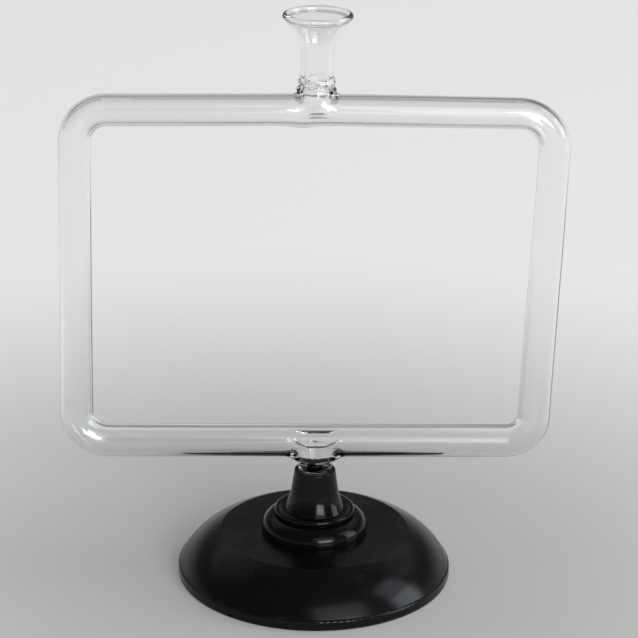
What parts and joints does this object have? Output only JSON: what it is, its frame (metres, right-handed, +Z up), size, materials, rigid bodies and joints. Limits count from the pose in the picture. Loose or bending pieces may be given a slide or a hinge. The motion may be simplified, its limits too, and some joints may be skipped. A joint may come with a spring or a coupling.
{
  "type": "water convection apparatus",
  "caption": "Closed rectangular loop of clear glass tube with a flared filling funnel, on a short stem in a turned black wooden stand.",
  "frame": {"origin": "centre of the wooden base's underside, on the stand's turning axis", "axes": "+Z up along the stand's axis; +X to the right in the plane of the glass loop, towards the limb that leans more; +Y away from the front, through the loop's window"},
  "size_m": [0.2568, 0.1422, 0.2988],
  "materials": {
    "base_wood": "ebonised, gloss polish",
    "pillar_wood": "ebonised, gloss polish",
    "screw_brass": "turned",
    "sleeve_cork": "cork, stained black",
    "clear_glass": "clear, fire polished"
  },
  "bodies": {
    "stand": {"base": "base_wood", "pillar": "pillar_wood", "pillar_screw": "screw_brass"},
    "sleeve": {"cork_sleeve": "sleeve_cork"},
    "glass": {"support_stem": "clear_glass", "stem_seal": "clear_glass", "bottom_tube_left": "clear_glass", "bottom_tube_right": "clear_glass", "bottom_left_bend": "clear_glass", "bottom_right_bend": "clear_glass", "left_limb": "clear_glass", "right_limb": "clear_glass", "top_left_bend": "clear_glass", "top_right_bend": "clear_glass", "top_tube_left": "clear_glass", "top_tube_right": "clear_glass", "filler_seal": "clear_glass", "filler_neck": "clear_glass", "filler_funnel": "clear_glass"}
  },
  "joints": [
    {"name": "loop_swivel", "type": "hinge", "parent": "stand", "child": "sleeve", "pos_m": [0, 0, 0.058], "axis": [0, 0, 1], "continuous": true},
    {"name": "loop_lift", "type": "slide", "parent": "sleeve", "child": "glass", "axis": [0, 0, 1], "range_m": [0, 0.03]}
  ]
}
